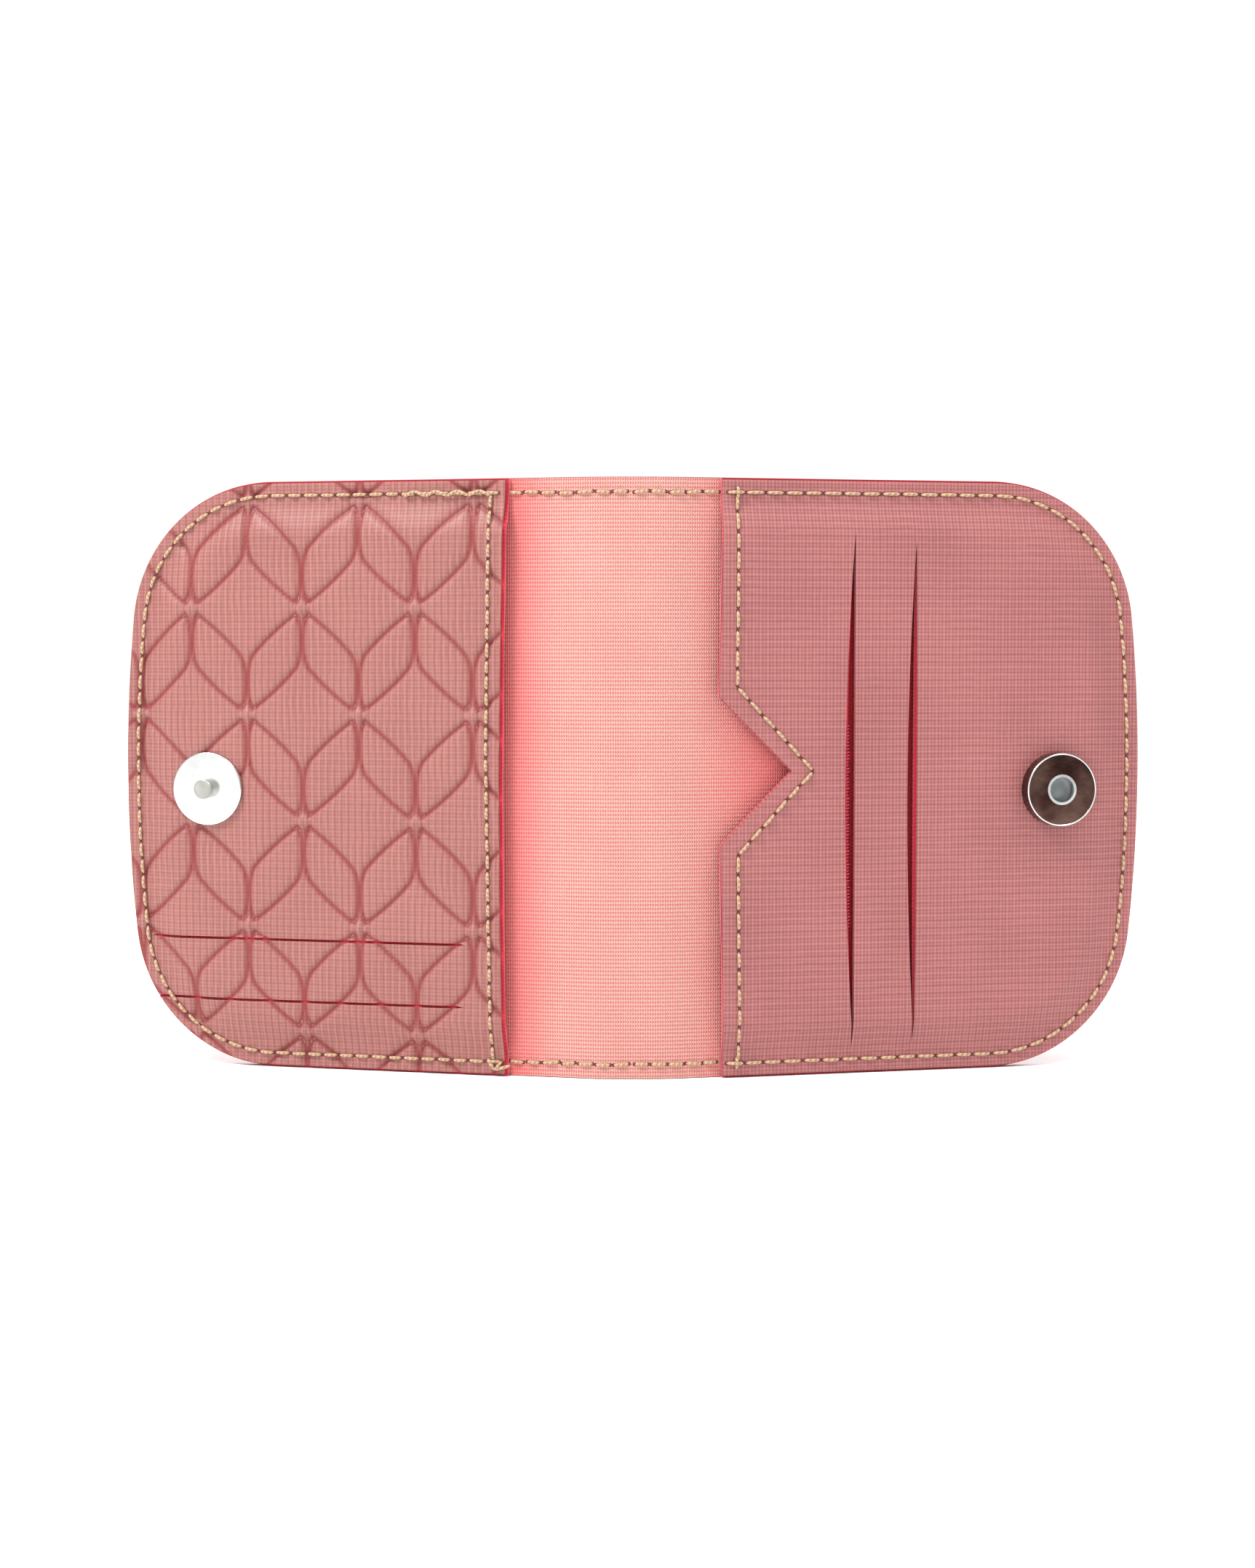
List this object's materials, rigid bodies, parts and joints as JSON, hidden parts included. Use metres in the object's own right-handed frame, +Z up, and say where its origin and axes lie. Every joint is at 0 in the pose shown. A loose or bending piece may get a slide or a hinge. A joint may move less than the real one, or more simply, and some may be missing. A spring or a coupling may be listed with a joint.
{
  "type": "coupon organizer wallet",
  "caption": "Folding vinyl wallet with rounded corners, slit card pockets, a thumb notch and a magnetic press snap, standing open on its long edge.",
  "frame": {"origin": "on the bottom edge of the cover, under the middle of the spine strip, in the plane of the two fold axes", "axes": "+X along the open wallet towards the socket half, +Z up along the folds, inside faces towards -Y"},
  "size_m": [0.1952, 0.0246, 0.112],
  "materials": {
    "cover_vinyl": "embossed coated vinyl, satin",
    "lining_cloth": "woven backing cloth, matt",
    "embossed_vinyl": "coated vinyl embossed with a petal lattice, satin",
    "grid_vinyl": "coated vinyl with a fine grid grain, satin",
    "backing_cloth": "woven backing with a pink cut edge, matt",
    "divider_cloth": "thin woven cloth, matt",
    "bright_plate": "bright nickel plate, brushed",
    "dark_plate": "polished dark nickel plate",
    "magnet": "sintered, matt",
    "plain_steel": "plated steel strip",
    "thread": "twisted polyester thread, slight sheen"
  },
  "bodies": {
    "spine": {"cover_spine": "cover_vinyl", "lining_spine": "lining_cloth", "seam_spine": "thread"},
    "left_half": {"cover_left": "cover_vinyl", "lining_left": "lining_cloth", "left_pocket_panel": "embossed_vinyl", "left_pocket_backing": "backing_cloth", "left_card_divider": "divider_cloth", "stud_plate": "bright_plate", "stud_rivet": "bright_plate", "stud_prongs": "plain_steel", "stud_washer": "plain_steel", "seam_left": "thread", "mouth_seam_left": "thread", "back_tack_left": "thread", "thread_knot_left": "thread"},
    "right_half": {"cover_right": "cover_vinyl", "lining_right": "lining_cloth", "right_pocket_panel": "grid_vinyl", "right_pocket_backing": "backing_cloth", "right_card_divider": "divider_cloth", "socket_cap": "dark_plate", "socket_magnet": "magnet", "socket_eyelet": "bright_plate", "socket_core": "plain_steel", "socket_prongs": "plain_steel", "socket_washer": "plain_steel", "seam_right": "thread", "mouth_seam_right": "thread", "cross_tacks_right": "thread"}
  },
  "joints": [
    {"name": "left_fold", "type": "hinge", "parent": "spine", "child": "left_half", "pos_m": [-0.00573, 0, 0], "axis": [0, 0, 1], "range_deg": [-16, 104]},
    {"name": "right_fold", "type": "hinge", "parent": "spine", "child": "right_half", "pos_m": [0.00573, 0, 0], "axis": [0, 0, -1], "range_deg": [-17, 103]}
  ]
}
